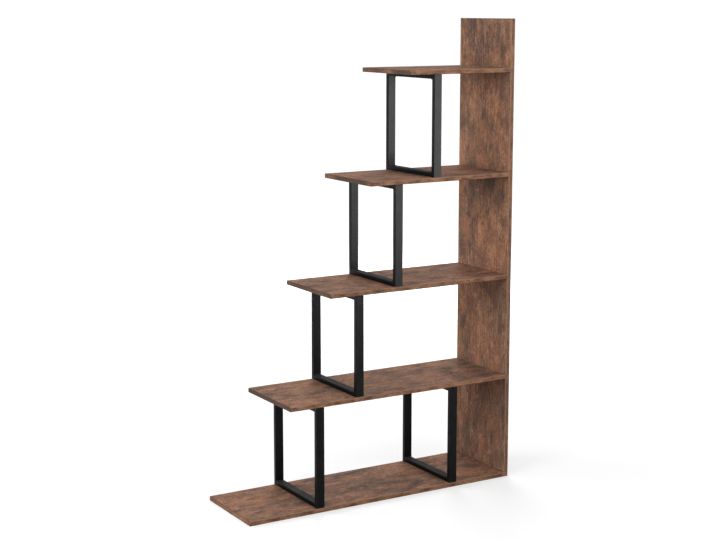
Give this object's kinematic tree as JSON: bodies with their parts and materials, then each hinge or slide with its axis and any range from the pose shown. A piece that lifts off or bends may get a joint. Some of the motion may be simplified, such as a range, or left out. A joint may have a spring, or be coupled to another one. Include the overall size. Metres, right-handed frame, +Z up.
{
  "type": "staircase shelf",
  "caption": "Free-standing stepped shelf: boards of rising setback butted to one tall side panel and carried by black welded tube frames.",
  "frame": {"origin": "on the floor, under the middle of the footprint", "axes": "+Z up, +X towards the side panel so that the steps climb that way, -Y the front that the picture shows"},
  "size_m": [1.02, 0.3, 1.6],
  "materials": {
    "board": "rustic brown coated board, satin",
    "frame_steel": "black powder coat, matt",
    "screw_steel": "blackened",
    "cam_zinc": "as cast",
    "plated_steel": "zinc plated",
    "dowel_wood": "raw beech"
  },
  "bodies": {
    "root": {"side_panel": "board", "bottom_shelf": "board", "second_shelf": "board", "third_shelf": "board", "fourth_shelf": "board", "top_shelf": "board", "bottom_bay_left_frame": "frame_steel", "bottom_bay_right_frame": "frame_steel", "second_bay_frame": "frame_steel", "third_bay_frame": "frame_steel", "top_bay_frame": "frame_steel", "bottom_bay_left_base_front_screw": "screw_steel", "bottom_bay_left_base_rear_screw": "screw_steel", "bottom_bay_left_head_front_screw": "screw_steel", "bottom_bay_left_head_rear_screw": "screw_steel", "bottom_bay_right_base_front_screw": "screw_steel", "bottom_bay_right_base_rear_screw": "screw_steel", "bottom_bay_right_head_front_screw": "screw_steel", "bottom_bay_right_head_rear_screw": "screw_steel", "second_bay_base_front_screw": "screw_steel", "second_bay_base_rear_screw": "screw_steel", "second_bay_head_front_screw": "screw_steel", "second_bay_head_rear_screw": "screw_steel", "third_bay_base_front_screw": "screw_steel", "third_bay_base_rear_screw": "screw_steel", "third_bay_head_front_screw": "screw_steel", "third_bay_head_rear_screw": "screw_steel", "top_bay_base_front_screw": "screw_steel", "top_bay_base_rear_screw": "screw_steel", "top_bay_head_front_screw": "screw_steel", "top_bay_head_rear_screw": "screw_steel", "second_shelf_front_cam": "cam_zinc", "second_shelf_rear_cam": "cam_zinc", "second_shelf_front_cam_bolt": "plated_steel", "second_shelf_rear_cam_bolt": "plated_steel", "second_shelf_front_dowel": "dowel_wood", "second_shelf_rear_dowel": "dowel_wood", "third_shelf_front_cam": "cam_zinc", "third_shelf_rear_cam": "cam_zinc", "third_shelf_front_cam_bolt": "plated_steel", "third_shelf_rear_cam_bolt": "plated_steel", "third_shelf_front_dowel": "dowel_wood", "third_shelf_rear_dowel": "dowel_wood", "fourth_shelf_front_cam": "cam_zinc", "fourth_shelf_rear_cam": "cam_zinc", "fourth_shelf_front_cam_bolt": "plated_steel", "fourth_shelf_rear_cam_bolt": "plated_steel", "fourth_shelf_front_dowel": "dowel_wood", "fourth_shelf_rear_dowel": "dowel_wood", "top_shelf_front_cam": "cam_zinc", "top_shelf_rear_cam": "cam_zinc", "top_shelf_front_cam_bolt": "plated_steel", "top_shelf_rear_cam_bolt": "plated_steel", "top_shelf_front_dowel": "dowel_wood", "top_shelf_rear_dowel": "dowel_wood", "panel_foot_front_screw": "plated_steel", "panel_foot_rear_screw": "plated_steel", "panel_foot_front_dowel": "dowel_wood", "panel_foot_rear_dowel": "dowel_wood"}
  },
  "joints": []
}
